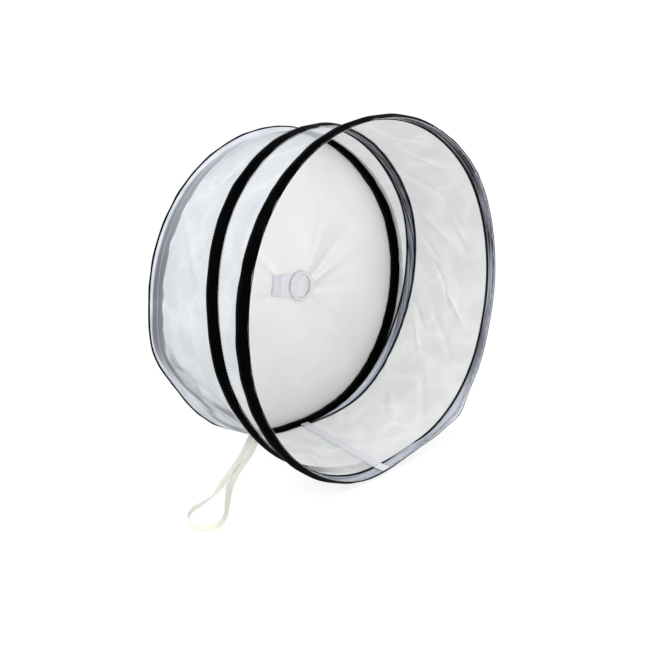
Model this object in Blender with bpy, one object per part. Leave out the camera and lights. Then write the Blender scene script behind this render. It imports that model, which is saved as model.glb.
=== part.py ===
"""Folding crab trap: a pop-up mesh drum that stands on its side, its open end towards -Y.

One spring wire makes three turns, a front hoop, a helical middle turn and a back hoop,
each in a channel of black binding tape on a thin mesh wall. The back is closed by a cloth
panel with a webbing tab and a plastic bait ring. The front hoop folds back onto the back one.

Metres, +Z up. The origin is on the floor, below the middle of the drum.
"""
import math

import bmesh
import bpy
from mathutils import Vector

# Driving dimensions
HOOP_RADIUS = 0.250       # outside of the rim tape
DEPTH = 0.233             # open rim to closed back
SETTLE = 0.0015           # how much the hoops flatten where they stand
SEGMENTS = 60             # facets of a full turn
GAP = 0.0004              # clearance between layers

# Mesh wall, and the tape channels that hold the wire on it
WALL_THICKNESS = 0.0005
WALL_OUTER = HOOP_RADIUS - 0.005
WALL_INNER = WALL_OUTER - WALL_THICKNESS
RIM_INSET = 0.0010        # the wall starts this far behind the seam tape's fold
TAPE_WIDTH = 0.020
TAPE_THICKNESS = 0.0006
TAPE_RISE = 0.0040        # how far a channel stands off the wall over its wire
MIDDLE_TAPE_RISE = 0.0034
TAPE_SHARES = (0.0, 0.22, 0.42, 0.58, 0.78, 1.0)    # places across the tape's width
TAPE_FULLNESS = 1.04      # above 1, the arch has a flat crest
WIRE_RADIUS = 0.0010
WIRE_STAND_OFF = 0.0022   # wall face to wire centre
FERRULE_BORE = 0.00135
FERRULE_RADIUS = 0.0018
FERRULE_LENGTH = 0.016
FERRULE_ANGLE = 285       # degrees, just beside the floor

# Depth of the middle turn's centre line behind the rim, at each twelfth of a turn. It leaves
# the front hoop at the floor, climbs the left side and comes down the right one to the back.
MIDDLE_TURN_DEPTHS = (0.0315, 0.054, 0.062, 0.0705, 0.089, 0.106, 0.138,
                      0.1555, 0.168, 0.184, 0.197, 0.2025, 0.2180)
FLOOR_ANGLE = 270

# Back panel and the piping round its edge
PANEL_THICKNESS = 0.0006
PANEL_FACE = DEPTH - 0.0008
PIPING_WIDTH = 0.004
BACK_TAPE_DEPTH = PANEL_FACE - 0.0006 - TAPE_WIDTH / 2

# White tape over the wall's seam, which runs a little askew along the floor
SEAM_WIDTH = 0.016
SEAM_THICKNESS = 0.0006
SEAM_FRONT_X = -0.0135
SEAM_BACK_X = 0.0085
SEAM_OUTER = WALL_INNER - GAP
SEAM_INNER = SEAM_OUTER - SEAM_THICKNESS

# Bait ring with a bar across it, and the webbing tab folded round the bar
RING_CENTRE_X = 0.0215
RING_DROP = 0.0015        # ring centre below the drum's axis
TAB_LEAN = math.radians(6.3)
RING_RADIUS = 0.02225     # centre of the rim
RING_HALF_WIDTH = 0.00275
RING_HALF_THICKNESS = 0.0022
RING_STAND_OFF = 0.0054   # panel to ring centre
BAR_RADIUS = 0.0015
WEBBING_WIDTH = 0.0364
WEBBING_THICKNESS = 0.0011
WEBBING_LOWER = 0.00085   # panel to the centre of the lower layer
WEBBING_UPPER = 0.00215
TAB_END = -0.0608         # along the tab from the ring's centre
STITCH_LINE = -0.0452     # where the free part starts, and its hinge
FOLD_START = -0.0080
FOLD_RADIUS = 0.00235
FOLD_REACH = 115          # degrees each way that the fold wraps the bar
RING_TURNS = 36

# Loop of flat tape that ties the folded trap, and the patch that holds its ends
STRAP_WIDTH = 0.010
STRAP_THICKNESS = 0.0010
STRAP_STEPS = 3
PATCH_ANGLES = (246, 252)
PATCH_FRONT = 0.205
PATCH_BACK = 0.2285
PATCH_THICKNESS = 0.0008
# The strap's route along the floor: x, y, height of its lower edge, roll in degrees.
# It lies flat beside the trap and stands on its edge round the loop.
STRAP_ROUTE = (
    (-0.0900, 0.1060, 0.0155, 14), (-0.1045, 0.0985, 0.0085, 6), (-0.1200, 0.0880, 0.0020, -4),
    (-0.1370, 0.0745, 0.0001, -9), (-0.1548, 0.0598, 0.0001, -9), (-0.1893, 0.0330, 0.0001, -10),
    (-0.2060, 0.0200, 0.0001, -12), (-0.2222, 0.0065, 0.0001, -24), (-0.2400, -0.0060, 0.0003, -48),
    (-0.2575, -0.0140, 0.0010, -64), (-0.2730, -0.0190, 0.0020, -74), (-0.2855, -0.0280, 0.0010, -86),
    (-0.2915, -0.0410, 0.0001, -94), (-0.2885, -0.0560, 0.0001, -99), (-0.2785, -0.0668, 0.0001, -99),
    (-0.2640, -0.0675, 0.0001, -95), (-0.2495, -0.0565, 0.0001, -76), (-0.2315, -0.0330, 0.0001, -56),
    (-0.2140, -0.0090, 0.0001, -44), (-0.1990, 0.0100, 0.0001, -16), (-0.1830, 0.0250, 0.0001, -2),
    (-0.1670, 0.0385, 0.0001, 0), (-0.1366, 0.0612, 0.0001, 0), (-0.1190, 0.0740, 0.0020, -3),
    (-0.1030, 0.0845, 0.0085, -9), (-0.0870, 0.0930, 0.0140, -14),
)

AXIS_HEIGHT = HOOP_RADIUS - SETTLE
BLACK = (0.012, 0.012, 0.014)
STEEL = (0.35, 0.36, 0.38)
MESH_WHITE = (0.80, 0.83, 0.88)
PANEL_WHITE = (0.76, 0.78, 0.77)
TAPE_WHITE = (0.82, 0.82, 0.90)
PLASTIC_WHITE = (0.84, 0.85, 0.87)
STRAP_CREAM = (0.84, 0.84, 0.76)


def clear_scene():
    """Remove every object, so that the trap is the only thing in the file."""
    for old in list(bpy.data.objects):
        bpy.data.objects.remove(old, do_unlink=True)


def around(angle, radius, depth):
    """Point at an angle in degrees round the drum, flattened where the drum stands."""
    turn = math.radians(angle)
    height = max(radius * math.sin(turn), SETTLE - radius)
    return Vector((radius * math.cos(turn), depth - DEPTH / 2, AXIS_HEIGHT + height))


def smooth(values, share):
    """Value or vector a share of the way along a smooth curve through the given ones."""
    place = min(max(share, 0.0), 1.0) * (len(values) - 1)
    step = min(int(place), len(values) - 2)
    t = place - step
    before = values[max(step - 1, 0)]
    start = values[step]
    end = values[step + 1]
    after = values[min(step + 2, len(values) - 1)]
    slope_in = (end - before) * 0.5
    slope_out = (after - start) * 0.5
    rise = end - start
    return start + slope_in * t + (rise * 3 - slope_in * 2 - slope_out) * t * t \
        + (slope_in + slope_out - rise * 2) * t * t * t


def finish(name, mesh, colour, roughness, metallic=0.0):
    """Make an object of a mesh, shaded smooth, with its own material."""
    material = bpy.data.materials.new(name)
    material.use_nodes = True
    shader = material.node_tree.nodes["Principled BSDF"]
    shader.inputs["Base Color"].default_value = (*colour, 1.0)
    shader.inputs["Roughness"].default_value = roughness
    shader.inputs["Metallic"].default_value = metallic
    mesh.materials.append(material)
    mesh.shade_smooth()
    mesh.set_sharp_from_angle(angle=math.radians(40))
    piece = bpy.data.objects.new(name, mesh)
    bpy.context.scene.collection.objects.link(piece)
    return piece


def sweep(name, sections, closed):
    """Mesh that joins a row of equal outlines. A closed row meets its own start."""
    mesh = bpy.data.meshes.new(name)
    form = bmesh.new()
    rows = [[form.verts.new(point) for point in outline] for outline in sections]
    sides = len(rows[0])
    for index in range(len(rows) if closed else len(rows) - 1):
        row = rows[index]
        following = rows[(index + 1) % len(rows)]
        for side in range(sides):
            beside = (side + 1) % sides
            form.faces.new((row[side], row[beside], following[beside], following[side]))
    if not closed:
        form.faces.new(rows[0])
        form.faces.new(rows[-1])
    bmesh.ops.recalc_face_normals(form, faces=form.faces)
    form.to_mesh(mesh)
    form.free()
    return mesh


def hoop(name, outline):
    """Full turn of an outline given as (radius, depth) pairs."""
    angles = [360 * index / SEGMENTS for index in range(SEGMENTS)]
    return sweep(name, [[around(angle, *point) for point in outline] for angle in angles], True)


def middle_turn(name, outline):
    """Helical turn of an outline given as (radius, depth from its centre line) pairs."""
    sections = []
    for index in range(SEGMENTS + 1):
        share = index / SEGMENTS
        centre = smooth(MIDDLE_TURN_DEPTHS, share)
        angle = FLOOR_ANGLE - 360 * share
        sections.append([around(angle, radius, centre + offset) for radius, offset in outline])
    return sweep(name, sections, False)


def wire_outline(radius, depth):
    """Round wire, as eight points."""
    return [(radius + WIRE_RADIUS * math.cos(math.radians(45 * index)),
             depth + WIRE_RADIUS * math.sin(math.radians(45 * index))) for index in range(8)]


def tape_outline(edge_radius, rise, depth):
    """Tape channel: flat at its two edges and arched over the wire in its middle.

    edge_radius is the face that lies on the wall. A negative rise arches inwards.
    """
    outward = math.copysign(1.0, rise)
    near = []
    far = []
    for share in TAPE_SHARES:
        place = depth + (share - 0.5) * TAPE_WIDTH
        arch = (rise - outward * TAPE_THICKNESS) * min(1.0, TAPE_FULLNESS * math.sin(math.pi * share))
        near.append((edge_radius + arch, place))
        far.append((edge_radius + arch + outward * TAPE_THICKNESS, place))
    return near + far[::-1]


def ferrule(name, wire_radius, depth):
    """Crimped sleeve on a straight facet of a hoop's wire."""
    facet = 360 / SEGMENTS
    start = around(FERRULE_ANGLE - facet / 2, wire_radius, depth)
    end = around(FERRULE_ANGLE + facet / 2, wire_radius, depth)
    along = (end - start).normalized()
    across = Vector((0, 1, 0))
    out = along.cross(across)
    middle = (start + end) / 2
    sections = []
    for index in range(12):
        turn = math.radians(30 * index)
        ray = across * math.cos(turn) + out * math.sin(turn)
        sections.append([middle + along * side * FERRULE_LENGTH / 2 + ray * radius
                         for side, radius in ((-1, FERRULE_BORE), (1, FERRULE_BORE),
                                              (1, FERRULE_RADIUS), (-1, FERRULE_RADIUS))])
    return finish(name, sweep(name, sections, True), STEEL, 0.35, 1.0)


def make_front_hoop():
    """The open rim: wire, ferrule, tape and the seam tape's fold. It slides to fold the trap."""
    pivot = bpy.data.objects.new("front_hoop_slide", None)
    pivot.location = (0, -DEPTH / 2, AXIS_HEIGHT)
    bpy.context.scene.collection.objects.link(pivot)
    centre = RIM_INSET + TAPE_WIDTH / 2
    wire_radius = WALL_OUTER + WIRE_STAND_OFF
    wire = hoop("front_hoop_wire", wire_outline(wire_radius, centre))
    tape = hoop("front_rim_tape", tape_outline(WALL_OUTER + GAP, TAPE_RISE + TAPE_THICKNESS, centre))
    pieces = [finish("front_hoop_wire", wire, STEEL, 0.35, 1.0),
              finish("front_rim_tape", tape, BLACK, 0.6),
              ferrule("front_wire_ferrule", wire_radius, centre),
              make_rim_seam_tab()]
    for piece in pieces:
        piece.parent = pivot
        piece.matrix_parent_inverse = pivot.matrix_basis.inverted()


def make_rim_seam_tab():
    """End of the seam tape, folded over the rim's edge."""
    lip = 0.0006
    outline = ((SEAM_INNER, 0), (HOOP_RADIUS - 0.001, 0), (HOOP_RADIUS - 0.001, lip),
               (SEAM_OUTER, lip), (SEAM_OUTER, TAPE_WIDTH), (SEAM_INNER, TAPE_WIDTH))
    sections = []
    for side in (-0.5, 0.5):
        x = SEAM_FRONT_X + side * SEAM_WIDTH
        sections.append([Vector((x, depth - DEPTH / 2, HOOP_RADIUS - radius))
                         for radius, depth in outline])
    return finish("rim_seam_tab", sweep("rim_seam_tab", sections, False), TAPE_WHITE, 0.6)


def make_middle_coil():
    """The helical turn, which carries the front hoop and flattens as the trap folds."""
    wire = middle_turn("middle_coil_wire", wire_outline(WALL_OUTER + WIRE_STAND_OFF, 0))
    finish("middle_coil_wire", wire, STEEL, 0.35, 1.0)
    outline = tape_outline(WALL_OUTER + GAP, MIDDLE_TAPE_RISE + TAPE_THICKNESS, 0)
    finish("middle_coil_tape", middle_turn("middle_coil_tape", outline), BLACK, 0.6)


def make_back_hoop():
    """The back turn, in a channel inside the wall, and the narrow piping outside it."""
    wire_radius = WALL_INNER - WIRE_STAND_OFF
    wire = hoop("back_hoop_wire", wire_outline(wire_radius, BACK_TAPE_DEPTH))
    finish("back_hoop_wire", wire, STEEL, 0.35, 1.0)
    ferrule("back_wire_ferrule", wire_radius, BACK_TAPE_DEPTH)
    outline = tape_outline(WALL_INNER - GAP, -TAPE_RISE - TAPE_THICKNESS, BACK_TAPE_DEPTH)
    finish("back_hoop_tape", hoop("back_hoop_tape", outline), BLACK, 0.6)
    inner = WALL_OUTER + GAP
    piping = ((inner, DEPTH - PIPING_WIDTH), (HOOP_RADIUS, DEPTH - PIPING_WIDTH),
              (HOOP_RADIUS, DEPTH), (inner, DEPTH))
    finish("back_edge_piping", hoop("back_edge_piping", piping), BLACK, 0.6)


def make_cloth():
    """Mesh wall, seam tape and back panel."""
    wall_end = PANEL_FACE + PANEL_THICKNESS
    wall = ((WALL_INNER, RIM_INSET), (WALL_OUTER, RIM_INSET),
            (WALL_OUTER, wall_end), (WALL_INNER, wall_end))
    finish("wall_mesh", hoop("wall_mesh", wall), MESH_WHITE, 0.7)

    angles = [360 * index / SEGMENTS for index in range(SEGMENTS)]
    faces = [[around(angle, SEAM_OUTER, depth) for angle in angles]
             for depth in (PANEL_FACE, wall_end)]
    finish("back_panel", sweep("back_panel", faces, False), PANEL_WHITE, 0.7)

    sections = []
    ends = ((SEAM_FRONT_X, TAPE_WIDTH + GAP),
            (SEAM_BACK_X, BACK_TAPE_DEPTH - TAPE_WIDTH / 2 - GAP))
    for x, depth in ends:
        sections.append([Vector((x + side * SEAM_WIDTH / 2, depth - DEPTH / 2, HOOP_RADIUS - radius))
                         for side, radius in ((-1, SEAM_INNER), (1, SEAM_INNER),
                                              (1, SEAM_OUTER), (-1, SEAM_OUTER))])
    finish("seam_tape", sweep("seam_tape", sections, False), TAPE_WHITE, 0.6)


def webbing(name, path):
    """Strip of webbing along a path of (along the tab, height off the panel) points."""
    sections = []
    for index, (along, height) in enumerate(path):
        before = path[max(index - 1, 0)]
        after = path[min(index + 1, len(path) - 1)]
        heading = math.atan2(after[1] - before[1], after[0] - before[0])
        lift_x = -math.sin(heading) * WEBBING_THICKNESS / 2
        lift_y = math.cos(heading) * WEBBING_THICKNESS / 2
        sections.append([Vector((along + face * lift_x, -height - face * lift_y,
                                 side * WEBBING_WIDTH / 2))
                         for face, side in ((-1, -1), (1, -1), (1, 1), (-1, 1))])
    return finish(name, sweep(name, sections, False), TAPE_WHITE, 0.65)


def make_ring_and_tab():
    """Webbing tab sewn to the back panel, its free fold, and the ring on the fold."""
    seat = bpy.data.objects.new("ring_tab_seat", None)
    seat.location = (RING_CENTRE_X, PANEL_FACE - DEPTH / 2, AXIS_HEIGHT - RING_DROP)
    seat.rotation_euler = (0, TAB_LEAN, 0)
    bpy.context.scene.collection.objects.link(seat)

    hinge_height = WEBBING_UPPER + WEBBING_THICKNESS / 2
    stitches = bpy.data.objects.new("tab_stitch_hinge", None)
    stitches.location = (STITCH_LINE, -hinge_height, 0)
    stitches.parent = seat
    bpy.context.scene.collection.objects.link(stitches)

    base = webbing("ring_tab_base", [(TAB_END, WEBBING_LOWER), (STITCH_LINE - 0.0002, WEBBING_LOWER)])
    thicken(base, WEBBING_UPPER - WEBBING_LOWER)
    base.parent = seat

    path = [(STITCH_LINE + 0.0002, WEBBING_LOWER), (FOLD_START, WEBBING_LOWER)]
    for angle in range(-FOLD_REACH, FOLD_REACH + 1, 23):
        turn = math.radians(angle)
        path.append((FOLD_RADIUS * math.cos(turn), RING_STAND_OFF + FOLD_RADIUS * math.sin(turn)))
    path += [(FOLD_START, WEBBING_UPPER), (STITCH_LINE + 0.0002, WEBBING_UPPER)]
    fold = webbing("ring_tab_fold", path)
    fold.parent = stitches
    fold.location = -stitches.location

    ring = make_bait_ring()
    ring.parent = stitches
    ring.location = Vector((0, -RING_STAND_OFF, 0)) - stitches.location


def thicken(piece, amount):
    """Raise the upper face of a flat strip, so that it is two layers deep."""
    highest = min(vertex.co.y for vertex in piece.data.vertices)
    for vertex in piece.data.vertices:
        if vertex.co.y < highest + WEBBING_THICKNESS / 2:
            vertex.co.y -= amount


def make_bait_ring():
    """Round plastic ring with a bar across its middle, its origin on the bar's axis."""
    sections = []
    for index in range(RING_TURNS):
        turn = 2 * math.pi * index / RING_TURNS
        outline = []
        for corner in range(10):
            bend = 2 * math.pi * corner / 10
            radius = RING_RADIUS + RING_HALF_WIDTH * math.cos(bend)
            outline.append(Vector((radius * math.cos(turn), RING_HALF_THICKNESS * math.sin(bend),
                                   radius * math.sin(turn))))
        sections.append(outline)
    ring = finish("bait_ring", sweep("bait_ring", sections, True), PLASTIC_WHITE, 0.3)

    reach = RING_RADIUS
    ends = [[Vector((BAR_RADIUS * math.cos(math.radians(30 * index)),
                     BAR_RADIUS * math.sin(math.radians(30 * index)), z)) for index in range(12)]
            for z in (-reach, reach)]
    bar = finish("bait_ring_bar", sweep("bait_ring_bar", ends, False), PLASTIC_WHITE, 0.3)
    bar.hide_render = True
    bar.display_type = 'WIRE'
    bar.parent = ring
    join = ring.modifiers.new("bar", 'BOOLEAN')
    join.operation = 'UNION'
    join.solver = 'EXACT'
    join.object = bar
    return ring


def make_strap():
    """Loop of flat tape lying on the floor, and the patch on the wall that holds its ends."""
    inner = WALL_OUTER + GAP
    outer = inner + PATCH_THICKNESS
    outline = ((inner, PATCH_FRONT), (outer, PATCH_FRONT), (outer, PATCH_BACK), (inner, PATCH_BACK))
    sections = [[around(angle, *point) for point in outline] for angle in PATCH_ANGLES]
    finish("strap_patch", sweep("strap_patch", sections, False), TAPE_WHITE, 0.65)

    spots = [Vector(point) for point in STRAP_ROUTE]
    count = (len(spots) - 1) * STRAP_STEPS
    path = [smooth(spots, index / count) for index in range(count + 1)]
    sections = []
    for index, spot in enumerate(path):
        heading = (path[min(index + 1, count)] - path[max(index - 1, 0)]).xyz
        level = Vector((heading.y, -heading.x, 0)).normalized()
        roll = math.radians(spot.w)
        wide = level * math.cos(roll) + Vector((0, 0, 1)) * math.sin(roll)
        thin = heading.cross(wide).normalized()
        lift = (STRAP_WIDTH * abs(wide.z) + STRAP_THICKNESS * abs(thin.z)) / 2
        centre = Vector((spot.x, spot.y, max(spot.z, 0.0001) + lift))
        sections.append([centre + wide * side * STRAP_WIDTH / 2 + thin * face * STRAP_THICKNESS / 2
                         for side, face in ((-1, -1), (1, -1), (1, 1), (-1, 1))])
    finish("storage_strap", sweep("storage_strap", sections, False), STRAP_CREAM, 0.8)


def main():
    clear_scene()
    make_front_hoop()
    make_middle_coil()
    make_back_hoop()
    make_cloth()
    make_ring_and_tab()
    make_strap()


main()
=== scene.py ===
"""Looks of the folding crab trap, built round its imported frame.

A pop-up drum of fine white net stands on its side. Black binding tape holds one spring wire
in three turns: the rim, a helical middle turn and the back. Cloth closes the back, with a
webbing tab and a plastic bait ring on it. Metres, +Z up, the open end towards -Y.
"""
import math

import bmesh
import bpy
import numpy as np
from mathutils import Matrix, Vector


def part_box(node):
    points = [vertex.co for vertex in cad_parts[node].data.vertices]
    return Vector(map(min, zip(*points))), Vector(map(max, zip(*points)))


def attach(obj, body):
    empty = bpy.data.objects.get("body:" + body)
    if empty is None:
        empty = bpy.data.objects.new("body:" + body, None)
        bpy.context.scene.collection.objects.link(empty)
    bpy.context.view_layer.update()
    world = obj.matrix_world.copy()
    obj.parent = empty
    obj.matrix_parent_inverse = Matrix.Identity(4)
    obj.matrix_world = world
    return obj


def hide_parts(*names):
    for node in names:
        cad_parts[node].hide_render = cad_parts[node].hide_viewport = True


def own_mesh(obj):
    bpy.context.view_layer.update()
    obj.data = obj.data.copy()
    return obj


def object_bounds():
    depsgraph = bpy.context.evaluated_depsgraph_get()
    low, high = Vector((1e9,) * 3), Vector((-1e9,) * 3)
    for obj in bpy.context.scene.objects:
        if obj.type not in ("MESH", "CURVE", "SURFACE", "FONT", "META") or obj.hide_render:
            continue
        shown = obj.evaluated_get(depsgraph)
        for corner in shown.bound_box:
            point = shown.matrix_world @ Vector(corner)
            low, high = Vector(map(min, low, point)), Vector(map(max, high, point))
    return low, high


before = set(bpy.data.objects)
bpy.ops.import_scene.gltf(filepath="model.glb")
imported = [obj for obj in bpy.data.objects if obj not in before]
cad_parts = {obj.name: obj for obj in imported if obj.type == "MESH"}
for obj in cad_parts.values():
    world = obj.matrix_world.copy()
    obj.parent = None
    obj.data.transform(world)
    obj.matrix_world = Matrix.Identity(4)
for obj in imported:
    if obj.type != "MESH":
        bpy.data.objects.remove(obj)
cad_box = [list(corner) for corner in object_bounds()]

# ---- sizes, from the frame
REAR_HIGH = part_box("back_edge_piping")[1]
WALL_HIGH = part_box("wall_mesh")[1]
PANEL_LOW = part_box("back_panel")[0]
RIM_LOW, RIM_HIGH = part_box("front_rim_tape")
HOOP_RADIUS = REAR_HIGH.x
FRONT = cad_box[0][1]
DEPTH = REAR_HIGH.y - FRONT
AXIS_HEIGHT = REAR_HIGH.z - HOOP_RADIUS
FLOOR_LIMIT = -AXIS_HEIGHT
WALL_RADIUS = WALL_HIGH.x
WALL_LENGTH = 2 * math.pi * WALL_RADIUS
PANEL_DEPTH = PANEL_LOW.y - FRONT
TAPE_SPREAD = 0.0025  # how much wider the loose tape lies than its solid
TAPE_WIDTH = RIM_HIGH.y - RIM_LOW.y + TAPE_SPREAD
RIM_EDGE = RIM_LOW.y - FRONT
PANEL_CLEARANCE = 0.0006
BACK_CENTRE = PANEL_DEPTH - PANEL_CLEARANCE - TAPE_WIDTH / 2

WALL_THICKNESS = 0.0005
LAYER_GAP = 0.0004
TAPE_THICKNESS = 0.0006
TAPE_RISE = 0.0042  # wall to the crest of the rim's and the back's channels
MIDDLE_RISE = 0.0036
WIRE_RADIUS = 0.0010
WIRE_STAND_OFF = 0.0022
PIPING_RADIUS = 0.0014
STEPS = 480  # columns round the drum

# The middle turn's centre line behind the rim, at each twelfth of a turn. It leaves the
# floor at the front, climbs the left side and comes down the right one to the back.
MIDDLE_TURN_DEPTHS = (0.0315, 0.054, 0.062, 0.0705, 0.089, 0.106, 0.138,
                      0.1555, 0.168, 0.184, 0.197, 0.2025, 0.2180)

# How far the two end hoops stand off a true circle, at each 15 degrees from +X, in mm
RIM_SHAPE = (1.5, 2.5, 5.5, 8.2, 6.0, 3.6, 2.0, 0.3, 2.0, 3.6, 3.6, 2.0,
             0.8, 2.2, 2.2, 3.5, 4.3, 3.3, -4.5, -6.0, 6.0, 9.0, 7.5, 1.5)
BACK_SHAPE = (5.0, 5.0, 4.0, 1.0, 0.8, 2.4, 4.0, 2.8, 1.0, 0.0, -0.4, 0.4,
              2.8, 10.0, 5.0, 6.8, 6.4, 3.0, -1.0, 1.0, 5.5, 6.5, 6.0, 5.0)
RIM_CORNER = (309.7, 6.0, 11.0)  # angle, half width in degrees, rise in mm
SADDLE = (104.0, 15.0, -3.5)  # angle, half width in degrees and rise in mm, at mid depth
CORNER_DEPTH = 0.016  # the corner is pulled out at the rim's front edge only
CALM_DEPTH = 0.024  # behind this the rim's shape has lost its sharper bends

# Depth of the front and rear edges of the rim's tape, at each 30 degrees from +X, in mm
RIM_TAPE_FRONT = (1.8, 1.2, 0.9, 0.9, 0.9, 0.9, 0.9, 0.9, 0.9, 1.2, 4.4, 2.4)
RIM_TAPE_REAR = (17.0, 18.0, 19.0, 20.0, 21.5, 23.0, 24.0, 23.5, 22.0, 20.5, 18.5, 17.0)

# Folds in the net: start and end as angle and depth, half width and height, in mm
NET_FOLDS = (
    (6, 118, 357, 94, 4, 3.4), (357, 94, 343, 49, 4, -3.2), (1, 101, 350, 86, 3, 2.8),
    (352, 176, 339, 131, 5, 3.4), (340, 150, 329, 124, 4, -3.2), (348, 120, 330, 60, 7, 2.4),
    (20, 150, 8, 110, 5, 2.4), (26, 70, 14, 45, 5, -2.4), (200, 199, 206, 160, 7, -6.0),
    (205, 165, 216, 152, 7, 4.0), (211, 135, 222, 105, 5, -4.2), (190, 206, 198, 196, 4, 4.0),
    (195, 190, 212, 178, 4, -4.0), (216, 190, 232, 150, 6, -4.5), (176, 150, 205, 100, 9, 2.4),
    (150, 190, 170, 120, 8, 2.6), (138, 150, 128, 105, 5, 2.8), (165, 130, 150, 95, 5, -2.8),
    (118, 160, 108, 120, 5, -2.6), (126, 46, 116, 30, 3, 2.6), (150, 55, 141, 35, 3, 2.4),
    (310, 150, 295, 90, 8, -2.6), (320, 100, 300, 45, 7, 2.8), (30, 140, 12, 60, 9, -2.2),
    (55, 170, 38, 80, 7, 2.4), (62, 90, 50, 50, 4, -2.4), (72, 75, 66, 40, 4, 2.4),
    (120, 180, 135, 100, 9, -1.8), (235, 150, 222, 80, 8, 2.6), (285, 130, 280, 70, 7, 2.4),
    (85, 160, 70, 90, 7, 2.4), (250, 180, 262, 110, 8, -2.0),
)

# Shade in the net's outer face at the lower left, where it lies slack over the back hoop:
# start and end as angle and depth, half width, in mm, and how dark
NET_SHADES = (
    (194, 211, 202, 205, 5, 0.75), (202, 205, 208, 202, 5, 0.85), (208, 202, 213, 191, 5.5, 0.95),
    (213, 191, 219, 187, 5.5, 0.85), (219, 187, 225, 196, 6, 0.60), (193, 195, 199, 191, 5, 0.55),
    (199, 191, 206, 171, 5, 0.55), (206, 171, 216, 162, 5.5, 0.45), (201, 199, 207, 187, 9, 0.36),
    (207, 187, 216, 175, 11, 0.45), (214, 144, 219, 112, 9, 0.75), (218, 118, 222, 94, 8, 0.65),
    (211, 156, 219, 134, 8, 0.40), (196, 224, 226, 224, 9, 0.16), (214, 165, 224, 140, 12, 0.20),
    (112, 200, 128, 203, 9, 0.30),
)
# Where the back hoop's tape shows grey through the net: front and rear edge of the grey at
# each 15 degrees from 105, as depth in mm, and how dark
SEEN_TAPE_FRONT = (212, 205, 202, 201, 201, 201, 200, 203)
SEEN_TAPE_REAR = (216, 219, 224, 225, 225, 226, 227, 218)
SEEN_TAPE_DARK = (0.0, 0.35, 0.75, 0.85, 1.0, 1.0, 0.85, 0.0)
# Painted light on the net over the rim's and the middle turn's tape, seen from inside: how light
# the net makes the tape, at each 30 degrees from +X, lightest at the bottom
INNER_LIGHT = (0.30, 0.10, 0.12, 0.20, 0.2, 0.2, 0.3, 0.3, 0.5, 0.85, 0.75, 0.55)


# ---- shape helpers
def whole_turn(count, full=2 * math.pi):
    """Equal steps round a full turn."""
    return np.linspace(0, full, count, endpoint=False)


def wave(place, seed, slowest, fastest, period=360.0):
    """Smooth random rise and fall, between about -1 and 1, that meets itself after a period."""
    draw = np.random.default_rng(seed)
    total = np.zeros_like(np.asarray(place, float))
    for count in range(slowest, fastest + 1):
        phase = draw.uniform(0, 2 * math.pi)
        total += draw.normal() * np.sin(2 * math.pi * count * place / period + phase)
    return total / math.sqrt(fastest - slowest + 1)


def clamped(given):
    """Nothing below 0 or above 1."""
    return np.clip(given, 0, 1)


def unit(rows):
    """Vectors of length 1."""
    return rows / np.linalg.norm(rows, axis=1)[:, None]


def eased(before, start, end, after, t):
    """Smooth curve from start to end, in line with the values on either side."""
    slope_in = (end - before) / 2
    slope_out = (after - start) / 2
    rise = end - start
    return start + slope_in * t + (3 * rise - 2 * slope_in - slope_out) * t ** 2 \
        + (slope_in + slope_out - 2 * rise) * t ** 3


def round_values(values, angle):
    """Smooth value at an angle, from values at equal steps round the full turn."""
    table = np.array(values, float)
    place = np.mod(angle, 360.0) / 360.0 * len(table)
    step = np.floor(place).astype(int)
    return eased(*(table[(step + k) % len(table)] for k in (-1, 0, 1, 2)), place - step)


def run_values(values, share):
    """Smooth value a share of the way along a row of values."""
    table = np.array(values, float)
    last = len(table) - 1
    place = clamped(share) * last
    step = np.minimum(place.astype(int), last - 1)
    return eased(*(table[np.clip(step + k, 0, last)] for k in (-1, 0, 1, 2)), place - step)


def off_circle(angle, depth):
    """How far the drum stands off a true circle there, in metres."""
    corner, width, rise = RIM_CORNER
    turn = (np.mod(angle - corner + 180, 360) - 180) / width
    reach = clamped(1 - depth / CORNER_DEPTH)
    rim = round_values(RIM_SHAPE, angle)
    calm = (2 * rim + round_values(RIM_SHAPE, angle - 15) + round_values(RIM_SHAPE, angle + 15)) / 4
    calming = clamped(depth / CALM_DEPTH)
    rim = rim + (calm - rim) * calming + rise * reach * np.exp(-turn ** 2)
    back = round_values(BACK_SHAPE, angle)
    share = clamped(depth / DEPTH)
    saddle, half, dip = SADDLE
    dip = dip * 4 * share * (1 - share) * np.exp(-((np.mod(angle, 360) - saddle) / half) ** 2)
    return (rim + (back - rim) * share + dip) / 1000


def drum(angle, radius, depth):
    """Points on the drum, its hoops' own shape included, flattened where it stands."""
    given = (np.asarray(values, float) for values in (angle, radius, depth))
    angle, radius, depth = np.broadcast_arrays(*given)
    turn = np.radians(angle)
    reach = radius + off_circle(angle, depth)
    height = reach * np.sin(turn)
    lowest = FLOOR_LIMIT + np.maximum(HOOP_RADIUS - radius, 0.0002)
    height = np.where(height < lowest, lowest, height)
    return np.stack([reach * np.cos(turn), depth + FRONT, AXIS_HEIGHT + height], axis=-1)


def rim_band(angle):
    """Centre depth and width of the rim's tape."""
    front = round_values(RIM_TAPE_FRONT, angle) / 1000
    rear = round_values(RIM_TAPE_REAR, angle) / 1000
    return (front + rear) / 2, rear - front


def middle_band(angle):
    """Centre depth and width of the middle turn's tape."""
    return middle_depth(angle), TAPE_WIDTH + 0 * angle


def back_band(angle):
    """Centre depth and width of the back hoop's tape."""
    return BACK_CENTRE + 0 * angle, TAPE_WIDTH + 0 * angle


def middle_depth(angle):
    """Depth of the middle turn's centre line, for angles from 270 down to -90."""
    return run_values(MIDDLE_TURN_DEPTHS, (270 - np.asarray(angle, float)) / 360)


def add_object(name, data):
    """New object with the given data, in the scene."""
    thing = bpy.data.objects.new(name, data)
    bpy.context.scene.collection.objects.link(thing)
    return thing


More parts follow.
